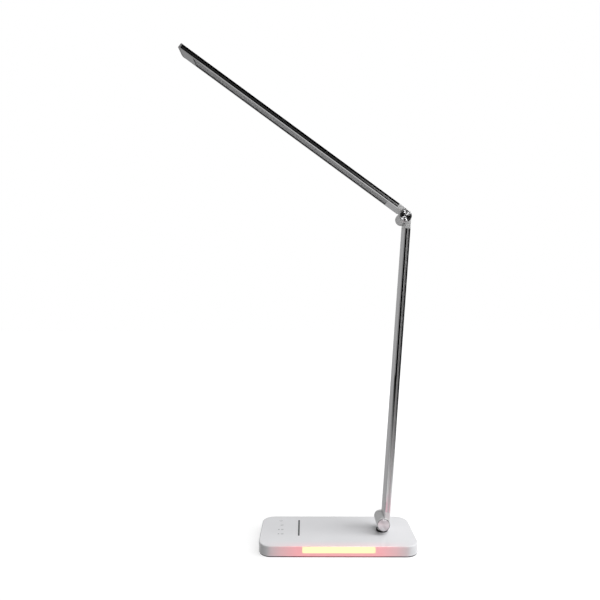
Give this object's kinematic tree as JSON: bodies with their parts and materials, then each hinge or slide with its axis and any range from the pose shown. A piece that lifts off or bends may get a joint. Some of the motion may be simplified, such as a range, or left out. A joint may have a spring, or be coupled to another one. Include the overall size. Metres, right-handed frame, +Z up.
{
  "type": "desk lamp",
  "caption": "Folding desk lamp: slim white base with a night light bar and touch controls, flat aluminium arm on a swivel hinge, long flat lamp head on a second hinge.",
  "frame": {"origin": "on the desk, under the middle of the base's rubber pad", "axes": "+Z up; +X along the base from the touch controls to the hinge; the night light faces -Y"},
  "size_m": [0.2948, 0.0874, 0.6297],
  "materials": {
    "white_gloss": "high gloss",
    "dark_plastic": "fine matt",
    "pad_rubber": "matt",
    "plain_steel": "plain",
    "screw_steel": "bright",
    "night_light": "frosted, lit",
    "circuit_board": "solder mask",
    "led_package": "phosphor",
    "board_parts": "moulded",
    "slider_grey": "smoked, glossy",
    "inlet_black": "fine matt",
    "bush_nylon": "plain nylon",
    "collar_black": "matt",
    "satin_silver": "satin, silver anodised",
    "arm_aluminium": "satin broad faces, polished edges",
    "cap_silver": "satin",
    "spun_metal": "spun in fine circles",
    "lead_grey": "plain",
    "diffuser": "frosted",
    "metal_board": "white solder mask"
  },
  "bodies": {
    "base": {"base_shell": "white_gloss", "bottom_cover": "dark_plastic", "bottom_pad": "pad_rubber", "cover_screws": "screw_steel", "ballast_plate": "plain_steel", "night_light_window": "night_light", "night_light_board": "circuit_board", "night_light_leds": "led_package", "touch_board": "circuit_board", "slider_light_strip": "slider_grey", "main_board": "circuit_board", "main_board_parts": "board_parts", "power_inlet": "inlet_black", "swivel_bush": "bush_nylon", "base_lead": "lead_grey"},
    "pedestal": {"hinge_pedestal": "satin_silver", "swivel_collar": "collar_black", "swivel_washer": "screw_steel", "swivel_spring_washer": "screw_steel", "swivel_nut": "screw_steel"},
    "arm": {"arm_profile": "arm_aluminium", "arm_foot_fitting": "satin_silver", "arm_top_fitting": "satin_silver", "arm_screws": "screw_steel", "arm_lead": "lead_grey", "lower_hinge_shaft": "screw_steel", "lower_hinge_washers": "bush_nylon", "lower_hinge_spring_washer": "screw_steel", "lower_hinge_nut": "screw_steel", "lower_hinge_cap_front": "spun_metal", "lower_hinge_cap_rear": "spun_metal", "upper_hinge_shaft": "screw_steel", "upper_hinge_washers": "bush_nylon", "upper_hinge_spring_washer": "screw_steel", "upper_hinge_nut": "screw_steel", "upper_hinge_cap_front": "spun_metal", "upper_hinge_cap_rear": "spun_metal"},
    "head": {"head_shell": "arm_aluminium", "head_fitting": "satin_silver", "head_screws": "screw_steel", "head_diffuser": "diffuser", "head_led_board": "metal_board", "head_leds": "led_package", "head_end_cap": "cap_silver", "head_lead": "lead_grey"}
  },
  "joints": [
    {"name": "swivel", "type": "hinge", "parent": "base", "child": "pedestal", "pos_m": [0.057, 0, 0.0129], "axis": [0, 0, 1], "range_deg": [-45, 45]},
    {"name": "arm_tilt", "type": "hinge", "parent": "pedestal", "child": "arm", "pos_m": [0.057, 0, 0.0254], "axis": [0, 1, 0], "range_deg": [-94.5, 25.4]},
    {"name": "head_tilt", "type": "hinge", "parent": "arm", "child": "head", "pos_m": [0.08714, 0, 0.40661], "axis": [0, 1, 0], "range_deg": [-122.3, 57.6]}
  ]
}
